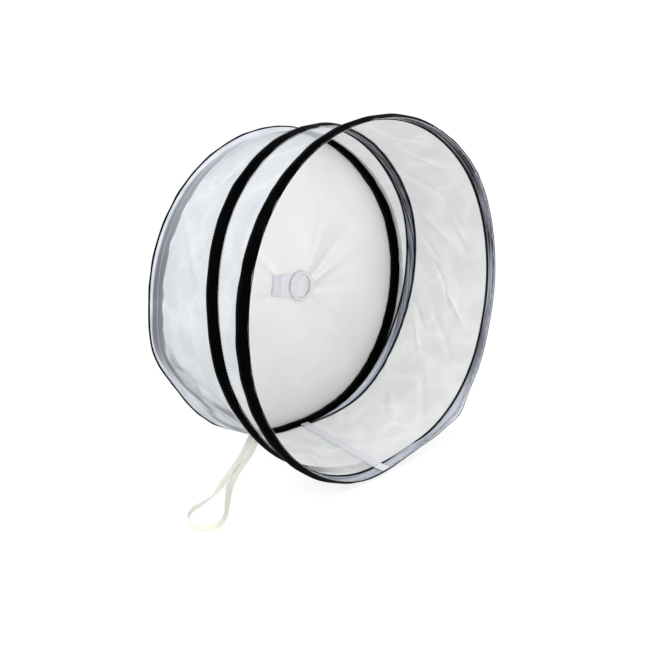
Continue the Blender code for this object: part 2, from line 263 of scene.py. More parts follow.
def formed(name, form, mesh):
    """Smooth object from an edited form, its faces all turned outward."""
    bmesh.ops.recalc_face_normals(form, faces=form.faces)
    form.to_mesh(mesh)
    form.free()
    mesh.shade_smooth()
    return add_object(name, mesh)


def grid(name, points, uv=None, close_rows=False, close_columns=False, caps=False, marks=None):
    """Mesh piece through a grid of points. Rows or columns can meet their own start.
    Marks are named values at the points, for the material to read."""
    rows, columns = points.shape[:2]
    mesh = bpy.data.meshes.new(name)
    row = np.arange(rows if close_rows else rows - 1)
    column = np.arange(columns if close_columns else columns - 1)
    low, side = np.meshgrid(row, column, indexing="ij")
    high = (low + 1) % rows
    beside = (side + 1) % columns
    faces = np.stack([low * columns + side, high * columns + side,
                      high * columns + beside, low * columns + beside], axis=-1).reshape(-1, 4)
    polygons = faces.tolist()
    if caps:
        polygons.append(list(range(columns)))
        polygons.append(list(range((rows - 1) * columns, rows * columns))[::-1])
    mesh.from_pydata(points.reshape(-1, 3).tolist(), [], polygons)
    if uv is not None:
        layer = mesh.uv_layers.new(name="cloth_metres")
        spread = uv((low, side), (low + 1, side), (low + 1, side + 1), (low, side + 1))
        flat = np.zeros((len(mesh.loops), 2))
        flat[:len(spread)] = spread
        layer.data.foreach_set("uv", flat.ravel())
    for mark, values in (marks or {}).items():
        held_values = mesh.attributes.new(mark, 'FLOAT', 'POINT')
        held_values.data.foreach_set("value", np.asarray(values, float).ravel())
    form = bmesh.new()
    form.from_mesh(mesh)
    return formed(name, form, mesh)


def metre_uv(row_length, column_length, rows, columns):
    """UV maker that lays a grid out flat in metres."""
    def spread(*corners):
        laid = [np.stack([low / rows * row_length, side / columns * column_length], axis=-1)
                for low, side in corners]
        return np.stack(laid, axis=2).reshape(-1, 2)
    return spread


def join(name, pieces):
    """One piece made of several meshes."""
    form = bmesh.new()
    for piece in pieces:
        form.from_mesh(piece.data)
        bpy.data.objects.remove(piece)
    mesh = bpy.data.meshes.new(name)
    form.to_mesh(mesh)
    form.free()
    return add_object(name, mesh)


def tube(name, path, radius, sides=10, closed=False, flat=1.0, uv=None):
    """Round bead along a path. The radius may change along it; flat squeezes its height."""
    path = np.asarray(path, float)
    heading = np.gradient(path, axis=0)
    if closed:
        heading = np.roll(path, -1, axis=0) - np.roll(path, 1, axis=0)
    heading = unit(heading)
    away = path - np.array([0, 0, AXIS_HEIGHT])
    away[:, 1] = 0
    out = unit(away - (away * heading).sum(1)[:, None] * heading)
    across = np.cross(heading, out)
    turn = whole_turn(sides)
    size = np.broadcast_to(np.asarray(radius, float), (len(path),))[:, None, None]
    ring = path[:, None, :] + size * (across[:, None, :] * np.cos(turn)[None, :, None]
                                      + flat * out[:, None, :] * np.sin(turn)[None, :, None])
    return grid(name, ring, uv, close_rows=closed, close_columns=True, caps=not closed)


# ---- materials
def shader_of(name):
    """New material, its node tree and its main shader."""
    material = bpy.data.materials.new(name)
    material.use_nodes = True
    tree = material.node_tree
    return material, tree, tree.nodes["Principled BSDF"]


def settle(node, settings):
    """Set a node's inputs by name."""
    for name, setting in settings.items():
        node.inputs[name].default_value = setting


def value(tree, operation, *inputs):
    """Math node of the given inputs, which are numbers or other nodes' outputs."""
    node = tree.nodes.new("ShaderNodeMath")
    node.operation = operation
    for socket, given in zip(node.inputs, inputs):
        if isinstance(given, (int, float)):
            socket.default_value = given
        else:
            tree.links.new(given, socket)
    return node.outputs[0]


def noise_at(tree, where, scale, detail=3.0, roughness=0.55):
    """Noise value at a place."""
    node = tree.nodes.new("ShaderNodeTexNoise")
    settle(node, {"Scale": scale, "Detail": detail, "Roughness": roughness})
    tree.links.new(where, node.inputs["Vector"])
    return node.outputs["Fac"]


def blended(tree, share, low, high):
    """Colour between two, each a plain colour or another node's output."""
    node = tree.nodes.new("ShaderNodeMix")
    node.data_type = 'RGBA'
    tree.links.new(share, node.inputs["Factor"])
    for end, colour in (("A", low), ("B", high)):
        if isinstance(colour, tuple):
            node.inputs[end].default_value = (*colour, 1)
        else:
            tree.links.new(colour, node.inputs[end])
    return node.outputs["Result"]


def in_range(tree, given, low, high):
    """Value from 0..1 spread over low..high."""
    node = tree.nodes.new("ShaderNodeMapRange")
    settle(node, {"To Min": low, "To Max": high})
    tree.links.new(given, node.inputs["Value"])
    return node.outputs["Result"]


def bumped(tree, shader, height, distance, strength=1.0):
    """Raise the surface by a height value."""
    node = tree.nodes.new("ShaderNodeBump")
    settle(node, {"Strength": strength, "Distance": distance})
    tree.links.new(height, node.inputs["Height"])
    tree.links.new(node.outputs["Normal"], shader.inputs["Normal"])


def ribs(tree, along, pitch):
    """Rise and fall from 0 to 1 with a pitch in metres."""
    turned = value(tree, 'MULTIPLY', along, 2 * math.pi / pitch)
    return value(tree, 'MULTIPLY_ADD', value(tree, 'SINE', turned), 0.5, 0.5)


def parts_of(tree, where):
    """The X, Y and Z of a place."""
    node = tree.nodes.new("ShaderNodeSeparateXYZ")
    tree.links.new(where, node.inputs["Vector"])
    return node.outputs


def flat_place(tree):
    """The cloth's own flat coordinates, in metres, and its X and Y."""
    node = tree.nodes.new("ShaderNodeUVMap")
    node.uv_map = "cloth_metres"
    parts = parts_of(tree, node.outputs["UV"])
    return node.outputs["UV"], parts["X"], parts["Y"]


def solid_place(tree):
    """Object coordinates, in metres."""
    return tree.nodes.new("ShaderNodeTexCoord").outputs["Object"]


def marked(tree, name):
    """Value that a mesh carries at its points."""
    node = tree.nodes.new("ShaderNodeAttribute")
    node.attribute_name = name
    return node.outputs["Fac"]


def ridge(tree, where, scale, sharpness):
    """Thin winding lines, 1 on a line and 0 away from it."""
    fold = noise_at(tree, where, scale, 2.0, 0.5)
    away = value(tree, 'ABSOLUTE', value(tree, 'SUBTRACT', fold, 0.5))
    return value(tree, 'MAXIMUM', value(tree, 'MULTIPLY_ADD', away, -sharpness, 1.0), 0.0)


def streaks(tree, around, along):
    """Long lighter streaks round the drum, painted into the net's grey over the bands."""
    place = tree.nodes.new("ShaderNodeCombineXYZ")
    tree.links.new(value(tree, 'MULTIPLY', around, 9.0), place.inputs["X"])
    tree.links.new(value(tree, 'MULTIPLY', along, 300.0), place.inputs["Y"])
    thread = noise_at(tree, place.outputs["Vector"], 1.0, 2.0)
    sharp = value(tree, 'MULTIPLY_ADD', thread, 5.0, -2.0)
    return value(tree, 'MINIMUM', value(tree, 'MAXIMUM', sharp, 0.0), 1.0)


def net_material(name, outside, inside, cover, rib_pitch, painted_shading_gain, crumple_and_highlight_gain, over_tape=None):
    """Fine warp-knit cloth: ribs one way, threads the other, see-through between them.
    Outside and inside are each a shaded and a lit colour; the inner face is the duller one,
    painted darker as shade inside the drum. The tone between the two is painted shade and light
    on folds and crumple lines, with random patches. Over tape are such pairs too: the inner face
    over a band, the outer face over the back one, its shaded strokes, and painted light on the net
    where it lies on the floor."""
    material, tree, shader = shader_of(name)
    where, around, along = flat_place(tree)
    rib = ribs(tree, around, rib_pitch)
    thread = ribs(tree, along, rib_pitch * 0.8)
    weave = value(tree, 'MULTIPLY_ADD', rib, 0.7, value(tree, 'MULTIPLY', thread, 0.3))
    patch = noise_at(tree, where, 9.0, 4.0)
    # Crumple lines: bumped, and painted lighter in the tone as highlights along them
    crumple_and_highlight = value(tree, 'MULTIPLY', ridge(tree, where, 13.0, 11.0), ridge(tree, where, 5.0, 2.5))
    # The tone is painted shade and light: each fold's slope, carried by the mesh, makes one flank
    # lighter and the other darker
    tone = value(tree, 'MULTIPLY_ADD', marked(tree, "painted_shading"), painted_shading_gain, patch)
    tone = value(tree, 'MULTIPLY_ADD', crumple_and_highlight, crumple_and_highlight_gain, tone)
    tone = in_range(tree, tone, 0.0, 1.0)
    outer = blended(tree, tone, *outside)
    inner = blended(tree, tone, *inside)
    solid = in_range(tree, weave, cover - 0.15, cover + 0.15)
    if over_tape:
        streak = streaks(tree, around, along)
        light = marked(tree, "light")
        inner_streak = value(tree, 'MULTIPLY_ADD', streak, 0.75, value(tree, 'SUBTRACT', light, 0.15))
        inner = blended(tree, marked(tree, "band"), inner, blended(tree, inner_streak, *over_tape[0]))
        # Painted light: where the net lies on the floor it turns to a much lighter colour
        inner = blended(tree, marked(tree, "ground"), inner, blended(tree, tone, *over_tape[3]))
        outer = blended(tree, marked(tree, "grey"), outer, blended(tree, tone, *over_tape[1]))
        outer = blended(tree, marked(tree, "shade"), outer, blended(tree, tone, *over_tape[2]))
        solid = value(tree, 'MAXIMUM', solid, marked(tree, "close"))
    face = tree.nodes.new("ShaderNodeNewGeometry")
    sides = blended(tree, face.outputs["Backfacing"], outer, inner)
    tree.links.new(sides, shader.inputs["Base Color"])
    tree.links.new(solid, shader.inputs["Alpha"])
    relief = value(tree, 'MULTIPLY_ADD', crumple_and_highlight, 8 * crumple_and_highlight_gain, weave)
    bumped(tree, shader, relief, 0.0003, 0.7)
    settle(shader, {"Roughness": 0.62, "Specular IOR Level": 0.3, "Sheen Weight": 0.1})
    return material


def woven_material(name, colour, shade, pitch, roughness, sheen, depth=0.00025, gloss=0.3):
    """Close-woven tape or webbing, in the piece's flat coordinates."""
    material, tree, shader = shader_of(name)
    where, across, along = flat_place(tree)
    weft = ribs(tree, along, pitch)
    warp = ribs(tree, across, pitch * 1.3)
    weave = value(tree, 'MULTIPLY', weft, warp)
    patch = noise_at(tree, where, 60.0, 4.0)
    tone = value(tree, 'MULTIPLY_ADD', weave, 0.35, value(tree, 'MULTIPLY', patch, 0.65))
    tree.links.new(blended(tree, tone, shade, colour), shader.inputs["Base Color"])
    tree.links.new(in_range(tree, patch, roughness - 0.1, roughness + 0.1), shader.inputs["Roughness"])
    bumped(tree, shader, weave, depth, 0.8)
    settle(shader, {"Specular IOR Level": gloss, "Sheen Weight": sheen, "Sheen Roughness": 0.4})
    return material


def ribbon_material():
    """Sheer white ribbon: closer where it crosses the bands at its ends."""
    material = woven_material("seam_ribbon", (0.93, 0.93, 0.99), (0.86, 0.86, 0.94), 0.0010, 0.6, 0.2)
    tree = material.node_tree
    where = solid_place(tree)
    away = value(tree, 'ABSOLUTE', parts_of(tree, where)["Y"])
    ends = value(tree, 'MULTIPLY_ADD', away, 45.0, -3.9)
    fine = noise_at(tree, where, 500.0, 2.0)
    close = value(tree, 'MINIMUM', value(tree, 'MAXIMUM', ends, 0.0), 1.0)
    sheer = value(tree, 'MULTIPLY_ADD', fine, 0.30, 0.34)
    cover = value(tree, 'MAXIMUM', close, sheer)
    tree.links.new(cover, tree.nodes["Principled BSDF"].inputs["Alpha"])
    return material


def speckled(name, shade, colour, scale, detail):
    """Material coloured by a noise, with its tree and shader, the place and the noise."""
    material, tree, shader = shader_of(name)
    where = solid_place(tree)
    patch = noise_at(tree, where, scale, detail)
    tree.links.new(blended(tree, patch, shade, colour), shader.inputs["Base Color"])
    return material, tree, shader, where, patch


def thread_material(name, colour, shade, gloss=0.3):
    """Sewing thread."""
    material, tree, shader, _, patch = speckled(name, shade, colour, 900.0, 2.0)
    bumped(tree, shader, patch, 0.0002, 0.5)
    settle(shader, {"Roughness": 0.55, "Specular IOR Level": gloss})
    return material


def steel_material():
    """Drawn spring wire, a little brushed and dulled."""
    material, tree, shader, _, patch = speckled(
        "spring_steel", (0.30, 0.30, 0.31), (0.55, 0.56, 0.58), 140.0, 5.0)
    tree.links.new(in_range(tree, patch, 0.25, 0.5), shader.inputs["Roughness"])
    bumped(tree, shader, patch, 0.0001, 0.3)
    shader.inputs["Metallic"].default_value = 1.0
    return material


def plastic_material():
    """Moulded white plastic with a faint orange peel, a little see-through."""
    material, tree, shader, where, patch = speckled(
        "white_plastic", (0.74, 0.75, 0.78), (0.84, 0.85, 0.87), 60.0, 4.0)
    tree.links.new(in_range(tree, patch, 0.22, 0.34), shader.inputs["Roughness"])
    bumped(tree, shader, noise_at(tree, where, 1400.0, 2.0), 0.00005, 0.5)
    settle(shader, {"Alpha": 0.82, "Subsurface Weight": 0.1,
            "Subsurface Radius": (0.002, 0.002, 0.002)})
    return material


# Shaded and lit colour pairs: the net's inner face over the bands, its outer face over the back band,
# the painted shade strokes, and painted light on the net lying on the floor inside
OVER_TAPE = (
    ((0.02, 0.024, 0.035), (0.66, 0.70, 0.80)), ((0.09, 0.095, 0.11), (0.16, 0.17, 0.195)),
    ((0.05, 0.05, 0.055), (0.13, 0.13, 0.135)), ((0.60, 0.62, 0.61), (0.90, 0.92, 0.91)),
)
# The net's inner face is painted darker than its outer one, as shade inside the drum
NET = net_material("white_net", ((0.36, 0.40, 0.46), (0.67, 0.70, 0.75)),
                   ((0.20, 0.21, 0.205), (0.56, 0.58, 0.57)), 0.53, 0.0020, 1.0, 0.35, OVER_TAPE)
CLOTH_COLOURS = ((0.66, 0.68, 0.67), (0.90, 0.92, 0.91))
CLOTH = net_material("panel_cloth", CLOTH_COLOURS, CLOTH_COLOURS, 0.90, 0.0016, 1.2, 0.04)
BLACK_TAPE = woven_material("black_tape", (0.0012, 0.0012, 0.0015), (0.0004, 0.0004, 0.0005),
                            0.0011, 0.40, 0.0, 0.0001, 0.008)
WHITE_TAPE = woven_material("white_tape", (0.80, 0.80, 0.86), (0.72, 0.72, 0.79), 0.0010, 0.6, 0.2)
WEBBING = woven_material("webbing", (0.82, 0.82, 0.88), (0.70, 0.70, 0.76), 0.0018, 0.65, 0.25, 0.0005)
STRAP_TAPE = woven_material("strap_tape", (0.83, 0.83, 0.75), (0.70, 0.70, 0.60), 0.0014, 0.7, 0.25)
SEAM_RIBBON = ribbon_material()
BLACK_THREAD = thread_material("black_thread", (0.0020, 0.0020, 0.0026), (0.0008, 0.0008, 0.0010), 0.05)
WHITE_THREAD = thread_material("white_thread", (0.80, 0.80, 0.85), (0.68, 0.68, 0.74))
STEEL = steel_material()
PLASTIC = plastic_material()


def dress(piece, material, node=None, body=None):
    """Give a piece its material, hide the solid it stands for, and put it on its body."""
    piece.data.materials.clear()
    piece.data.materials.append(material)
    if node:
        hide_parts(node)
    if body:
        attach(piece, body)
    return piece


# ---- the fold's sizes, and pieces put on the net's body
FOLD_KEEP = 0.288  # the net's share of its depth when the trap is folded
FOLD_TRAVEL = 0.165  # how far the front hoop slides back


def fold_with_net(piece):
    """Put a piece on the net's body, with a mesh of its own."""
    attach(piece, "net")
    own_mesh(piece)
    return piece


# ---- camera
def make_camera():
    data = bpy.data.cameras.new("camera")
    data.sensor_width = 36.0
    data.lens = 31.36
    camera = add_object("camera", data)
    camera.location = (-0.586, -0.615, 0.404)
    camera.rotation_euler = (math.radians(76.64), 0, math.radians(-42.2))
    bpy.context.scene.camera = camera


# ---- storage strap
STRAP_WIDTH = 0.010
STRAP_THICKNESS = 0.0010
PATCH_ANGLES = (245.5, 252.5)
PATCH_DEPTHS = (0.204, 0.2288)
PATCH_THICKNESS = 0.0009
# The strap's route: x, y and height of its lower edge in mm, and roll in degrees
STRAP_ROUTE = (
    (-90, 106, 15.5, 14), (-104.5, 98.5, 8.5, 6), (-120, 88, 2, -4), (-137, 74.5, 0.1, -9),
    (-154.8, 59.8, 0.1, -9), (-189.3, 33, 0.1, -10), (-206, 20, 0.1, -12), (-222.2, 6.5, 0.1, -24),
    (-240, -6, 0.3, -48), (-257.5, -14, 1, -64), (-273, -19, 2, -74), (-285.5, -28, 1, -86),
    (-291.5, -41, 0.1, -94), (-288.5, -56, 0.1, -99), (-278.5, -66.8, 0.1, -99),
    (-264, -67.5, 0.1, -95), (-249.5, -56.5, 0.1, -76), (-231.5, -33, 0.1, -56),
    (-214, -9, 0.1, -44), (-199, 10, 0.1, -16), (-183, 25, 0.1, -2), (-167, 38.5, 0.1, 0),
    (-136.6, 61.2, 0.1, 0), (-119, 74, 2, -3), (-103, 84.5, 8.5, -9), (-87, 93, 14, -14),
)
STRAP_STATIONS = 300


def make_strap():
    share = np.linspace(0, 1, STRAP_STATIONS)
    scales = (1000, 1000, 1000, 1)
    x, y, low, roll = (run_values([spot[k] / scale for spot in STRAP_ROUTE], share)
                       for k, scale in enumerate(scales))
    roll = np.radians(roll)
    path = np.stack([x, y, np.maximum(low, 0.0001)], axis=1)
    heading = unit(np.gradient(path, axis=0))
    level = unit(np.stack([heading[:, 1], -heading[:, 0], np.zeros_like(x)], axis=1))
    wide = level * np.cos(roll)[:, None] + np.array([0, 0, 1]) * np.sin(roll)[:, None]
    thin = unit(np.cross(heading, wide))
    path[:, 2] += (STRAP_WIDTH * abs(wide[:, 2]) + STRAP_THICKNESS * abs(thin[:, 2])) / 2

    half = STRAP_WIDTH / 2
    thick = STRAP_THICKNESS / 2
    across = np.linspace(-1, 1, 13)
    crown = thick * (1 - 0.35 * across ** 6)
    outline = [(half * a, c) for a, c in zip(across, crown)]
    outline += [(half * a, -c) for a, c in zip(across[::-1], crown[::-1])]
    points = np.stack([path + wide * a + thin * c for a, c in outline], axis=1)
    steps = np.linalg.norm(np.diff(path, axis=0), axis=1)
    length = float(steps.sum())
    strap = grid("storage_strap_loop", points, close_columns=True, caps=True,
                 uv=metre_uv(length, 2 * STRAP_WIDTH, STRAP_STATIONS - 1, len(outline)))
    dress(strap, STRAP_TAPE, "storage_strap", "net")

    inner = WALL_RADIUS + LAYER_GAP
    patch = thin_patch("strap_anchor_patch", np.linspace(*PATCH_ANGLES, 15),
                       np.linspace(*PATCH_DEPTHS, 15), inner, inner + PATCH_THICKNESS)
    dress(patch, WHITE_TAPE, "strap_patch", "net")


def thin_patch(name, angles, depths, inner, outer):
    """Small closed patch on the drum, softly crowned."""
    turn, depth = np.meshgrid(angles, depths, indexing="ij")
    u = np.linspace(-1, 1, len(angles))[:, None]
    v = np.linspace(-1, 1, len(depths))[None, :]
    crown = (1 - u ** 8) * (1 - v ** 8)
    top = drum(turn, inner + (outer - inner) * (0.5 + 0.5 * crown), depth)
    bottom = drum(turn, inner * np.ones_like(crown), depth)
    return closed_sheet(name, top, bottom)


def closed_sheet(name, top, bottom):
    """Closed thin body between two equal grids of points."""
    rows, columns = top.shape[:2]
    points = np.concatenate([top, bottom[:, ::-1]], axis=1)
    length = np.linalg.norm(np.diff(top[:, columns // 2], axis=0), axis=1).sum()
    width = np.linalg.norm(np.diff(top[rows // 2], axis=0), axis=1).sum()
    return grid(name, points, close_columns=True, caps=True,
                uv=metre_uv(length, 2 * width, rows - 1, 2 * columns))


# ---- net wall
def beside_line(u, v, run, climb):
    """Where places lie by a line from (0, 0) to (run, climb): the distance aside, the share of
    the way along it, and how far past its ends."""
    length = math.hypot(run, climb)
    along = (u * run + v * climb) / length
    aside = (u * climb - v * run) / length
    reach = clamped(along / length)
    return aside, reach, along - reach * length


def arc(angle, start):
    """Way round the wall from a start, in metres, by the shorter side."""
    return (np.mod(angle - start + 180, 360) - 180) * math.radians(1) * WALL_RADIUS


def fold_height(angle, depth, folds):
    """Radial rise of a list of folds, in metres."""
    total = np.zeros_like(angle)
    for angle_0, mm_0, angle_1, mm_1, width, rise in folds:
        depth_0 = mm_0 / 1000
        aside, reach, past = beside_line(arc(angle, angle_0), depth - depth_0,
                                         arc(angle_1, angle_0), mm_1 / 1000 - depth_0)
        taper = np.sin(math.pi * clamped(0.15 + 0.7 * reach))
        spread = width / 1000
        total += rise / 1000 * taper * np.exp(-(aside / spread) ** 2 - (past / (2 * spread)) ** 2)
    return total


def from_bottom(angle):
    """The same angle between -90 and 270, as the middle turn runs."""
    turn = np.mod(angle, 360)
    return np.where(turn > 270, turn - 360, turn)


def held(angle, depth):
    """Rise from 0 at a band to 1 midway between two bands, and the width of the bay."""
    middle = middle_depth(from_bottom(angle))
    rim, rim_width = rim_band(angle)
    half = TAPE_WIDTH / 2
    front_start = rim + rim_width / 2
    front_end = np.maximum(middle - half, front_start)
    back_start = middle + half
    back_end = np.maximum(BACK_CENTRE - half, back_start + 1e-6)
    in_front = depth < middle
    start = np.where(in_front, front_start, back_start)
    end = np.where(in_front, front_end, back_end)
    bay = np.maximum(end - start, 1e-6)
    share = clamped((depth - start) / bay)
    return np.sin(math.pi * share), bay


def band_mark(angle, depth):
    """How much a place in the net lies over black tape: 1 over it, 0 clear of it. The second
    value is how far it lies from the nearest band's centre, as a share of the half width."""
    turn = from_bottom(angle)
    cover = np.zeros_like(depth)
    nearest = np.ones_like(depth)
    lower_end = clamped((250 - turn) / 14)
    for (centre, width), kept in ((rim_band(angle), 1.0), (middle_band(turn), lower_end),
                                  (back_band(angle), 1.0)):
        away = np.abs(depth - centre) / (width / 2)
        cover = np.maximum(cover, kept * clamped((1.15 - away) / 0.15))
        nearest = np.minimum(nearest, away)
    return cover, nearest


def seen_tape(angle, depth):
    """How much the back hoop's tape greys the net's outer face, from 0 to 1."""
    share = (np.mod(angle, 360) - 105) / 15 / (len(SEEN_TAPE_FRONT) - 1)
    front, rear, dark = (run_values(row, share) for row in (SEEN_TAPE_FRONT, SEEN_TAPE_REAR,
                                                            SEEN_TAPE_DARK))
    jagged = 1.4 * wave(angle, 81, 20, 60)
    mm = depth * 1000
    inside = clamped((mm - front - jagged) / 1.2) * clamped((rear - mm) / 1.6)
    pale_line = 1 - 0.30 * np.exp(-((mm - 0.45 * front - 0.55 * rear) / 1.6) ** 2)
    return dark * inside * pale_line


def net_marks(angle, depth):
    """What the net's material reads at each place: the bands behind it, its painted shades and
    light, and where it is made close."""
    band, away = band_mark(angle, depth)
    # Painted light on the net over the bands, lightest at a band's centre
    light = round_values(INNER_LIGHT, angle) * (1 - 0.9 * away ** 4)
    turn = np.mod(angle, 360)
    # Painted light on the net lying on the floor inside, where the drum shades the floor; the net is
    # made close there too
    ground = clamped((turn - 232) / 14) * clamped((306 - turn) / 26)
    ground = 0.8 * ground * (1 - band)
    shade = np.clip(1000 * fold_height(angle, depth, NET_SHADES), 0, 0.8)
    behind = clamped((depth - 0.1985) / 0.0015)
    front = np.mod(angle, 360) > 235
    close = np.maximum(0.95 * behind, np.maximum(ground, 0.9 * band * light * front))
    close = np.maximum(close, 1.4 * shade)
    return {"band": band, "light": light, "ground": ground, "shade": shade,
            "grey": seen_tape(angle, depth), "close": close}


# How wide the net's edge is turned in at the rim, at each 45 degrees from +X, in mm
HEM_WIDTHS = (3.5, 2.5, 3.0, 4.0, 4.0, 4.0, 4.5, 6.5)
HEM_DEPTH = 0.004  # the hem's grid is laid out this deep, then drawn to its width
SWAY = 0.0009
SLACK = 0.0024
PULL_IN = 0.035  # how far a bay of the net is drawn in, as a share of its width
FLARE_START = 0.2180  # from here the net flares out to the binding round the back
FLARE_END = 0.2300
FLARE_RADIUS = HOOP_RADIUS - 0.0018


def make_net():
    angle = np.linspace(-90, 270, STEPS + 1)[:, None]
    hem_width = round_values(HEM_WIDTHS, angle[:, 0]) / 1000
    hem_line = np.linspace(HEM_DEPTH, RIM_EDGE + 0.0004, 4)
    depth_line = np.concatenate([hem_line, np.linspace(RIM_EDGE, 0.0225, 8),
                                 np.linspace(0.0245, PANEL_DEPTH + 0.0004, 122)])
    hem = len(hem_line)
    depth = depth_line[None, :] * np.ones_like(angle)
    angle = angle * np.ones_like(depth)
    free, bay = held(angle, depth)
    sag = -PULL_IN * bay * free
    sway = wave(angle, 11, 3, 12) * 0.5 + wave(angle + 400 * depth, 12, 6, 18) * 0.5
    sag += free * np.minimum(bay / 0.05, 1) * SWAY * sway
    sag += fold_height(angle, depth, NET_FOLDS) * np.minimum(free * 2, 1)
    on_floor = np.exp(-((np.mod(angle, 360) - 270) / 17) ** 4)
    sag -= SLACK * free * np.minimum(bay / 0.06, 1)
    sag = np.minimum(sag, 0.0001) * (1 - on_floor)
    folded = DEPTH - FOLD_KEEP * (DEPTH - depth) - FOLD_TRAVEL
    room = off_circle(angle, folded) - off_circle(angle, depth)
    sag = np.where(depth < 0.09, np.minimum(sag, room), sag)
    # Painted shade and light: the slope of the net's folds, which its material turns into a lighter and
    # a darker flank
    slope = np.gradient(sag, axis=0) / (WALL_LENGTH / STEPS)
    flare = clamped((depth - FLARE_START) / (FLARE_END - FLARE_START))
    flare = (3 * flare ** 2 - 2 * flare ** 3) * (FLARE_RADIUS - WALL_RADIUS)
    radius = WALL_RADIUS - WALL_THICKNESS / 2 + sag + flare
    radius[:, :hem] -= 0.0009 + 0.0003 * np.abs(wave(angle[:, :hem], 14, 40, 90))
    depth[:, :hem] = RIM_EDGE + (depth[:, :hem] - RIM_EDGE) * (hem_width / HEM_DEPTH)[:, None]
    depth[:, 0] += 0.0006 * wave(angle[:, 0], 15, 30, 110)
    points = drum(angle[:-1], radius[:-1], depth[:-1])
    flat_width = depth_line[-1] + hem_width.mean() - 2 * RIM_EDGE
    marks = {"painted_shading": slope, **net_marks(angle, depth)}
    wall = grid("net_wall", points, close_rows=True,
                marks={mark: values[:-1] for mark, values in marks.items()},
                uv=metre_uv(WALL_LENGTH, flat_width, STEPS, len(depth_line) - 1))
    dress(wall, NET, "wall_mesh")
    fold_with_net(wall)


# ---- tapes, wires and stitches
ACROSS = (0.0, 0.05, 0.12, 0.2, 0.28, 0.36, 0.43, 0.5, 0.57, 0.64, 0.72, 0.8, 0.88, 0.95, 1.0)


def tape_points(angle, band, edge_radius, rise, seed, inside, puff):
    """Cross-sections of a channel: flat at its sewn edges and arched over the wire. Puff is the
    angle where the loose tape stands highest, and how much higher."""
    outward = -1.0 if inside else 1.0
    centre, width = band
    puff_angle, puff_share = puff
    rise = rise * (1 + puff_share * np.maximum(np.cos(np.radians(angle - puff_angle)), 0) ** 2)
    if not inside:
        rise = rise + 0.0035 * np.exp(-((np.mod(angle, 360) - 268) / 11) ** 4)
    ruffle = wave(angle, seed, 18, 60) * 0.0005
    swell = 1 + 0.07 * wave(angle, seed + 1, 8, 40)
    drift = wave(angle, seed + 2, 10, 36) * 0.0006
    near = []
    far = []
    for share in ACROSS:
        edge = abs(share - 0.5) * 2
        place = centre + (share - 0.5) * width + ruffle * edge * (1 if share < 0.5 else -1)
        place = np.maximum(place + drift * (1 - edge), 0.0006)
        lifted = max(0.0, math.sin(math.pi * (share - 0.1) / 0.8)) if 0.1 < share < 0.9 else 0.0
        arch = (rise - TAPE_THICKNESS) * min(1.0, 1.12 * lifted) * swell
        near.append(drum(angle, edge_radius + outward * arch, place))
        far.append(drum(angle, edge_radius + outward * (arch + TAPE_THICKNESS), place))
    return np.stack(near + far[::-1], axis=1)


def make_tape(name, angle, band, edge_radius, rise, seed, closed, inside=False, puff=(0, 0)):
    points = tape_points(angle, band, edge_radius, rise, seed, inside, puff)
    count = len(angle) if closed else len(angle) - 1
    return grid(name, points, close_rows=closed, close_columns=True, caps=not closed,
                uv=metre_uv(WALL_LENGTH, 2.1 * TAPE_WIDTH, count, 2 * len(ACROSS)))


def stitch_rows(name, first, last, band_of, radius, closed, widths, pitch=0.0042):
    """Rows of long beaded stitches along a channel's edges, in one piece. Widths are the
    half widths of the front row and the rear one."""
    beads = int(WALL_LENGTH * abs(last - first) / 360 / pitch)
    count = beads * 6
    angle = first + (last - first) * (np.arange(count) + (0 if closed else 0.5)) / count
    beat = np.abs(np.sin(math.pi * np.arange(count) / 6))
    rows = []
    centre, width = band_of(angle)
    for side, size in zip((-1, 1), widths):
        path = drum(angle, radius, centre + side * (width / 2 - 0.0018))
        rows.append(tube(f"{name}_{side}", path, size * (0.55 + 0.45 * beat), 6, closed, 0.35))
    piece = join(name, rows)
    piece.data.shade_smooth()
    return piece


THREAD_RADIUS = 0.00045
FERRULE_ANGLES = (283.2, 286.8)
FERRULE_RADIUS = 0.0018
FERRULE_LIP = 0.0003


def add_wire(name, path, node, body=None, closed=True):
    return dress(tube(name, path, WIRE_RADIUS, 12, closed), STEEL, node, body)


